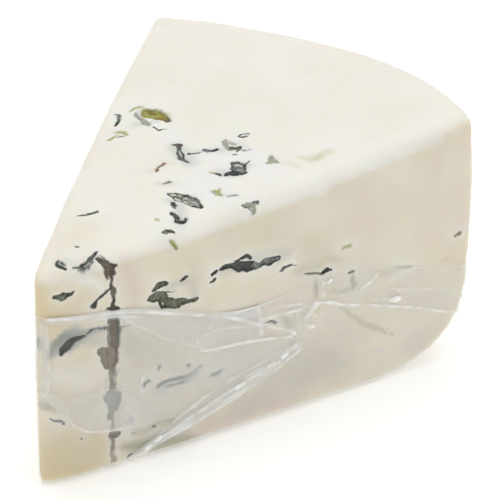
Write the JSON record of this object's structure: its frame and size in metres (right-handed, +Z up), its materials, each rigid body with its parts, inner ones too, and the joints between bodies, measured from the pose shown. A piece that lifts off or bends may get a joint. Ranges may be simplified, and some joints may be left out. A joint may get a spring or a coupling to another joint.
{
  "type": "blue goat cheese wedge",
  "caption": "Wedge of blue-veined goat cheese cut from a small halved wheel, standing on its base, its foot wrapped in clear film.",
  "frame": {"origin": "middle of the box's base, on the surface that the wedge stands on", "axes": "+Z up along the wheel's axis, +Y from the wedge's tip towards the wheel's outer side"},
  "size_m": [0.085, 0.1028, 0.0569],
  "materials": {
    "cheese_paste": "moist cut paste with blue-green mould pockets",
    "clear_film": "clear clinging film with folds"
  },
  "bodies": {
    "root": {"cheese_wedge": "cheese_paste", "film_wrap": "clear_film"}
  },
  "joints": []
}
